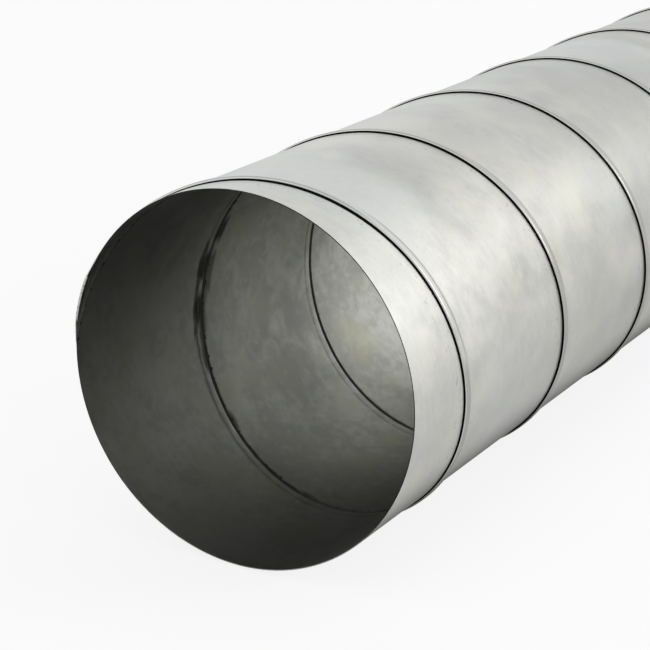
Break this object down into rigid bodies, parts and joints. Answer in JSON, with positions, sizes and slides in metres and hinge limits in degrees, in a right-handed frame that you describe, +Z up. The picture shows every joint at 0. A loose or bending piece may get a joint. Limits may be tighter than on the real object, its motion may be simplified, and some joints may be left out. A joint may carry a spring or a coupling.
{
  "type": "spiral duct section",
  "caption": "Straight round ventilation duct wound from one galvanised steel strip, with a helical lock seam and open square-cut ends.",
  "frame": {"origin": "centre of the front mouth, on the duct's axis in the plane of the front rim", "axes": "+Y runs along the duct from the front mouth to the back mouth, +Z is up with the duct lying level as pictured, +X is to the right when looking into the front mouth along +Y"},
  "size_m": [0.2042, 1, 0.2042],
  "materials": {
    "galvanised_steel": "satin"
  },
  "bodies": {
    "root": {"spiral_duct": "galvanised_steel"}
  },
  "joints": []
}
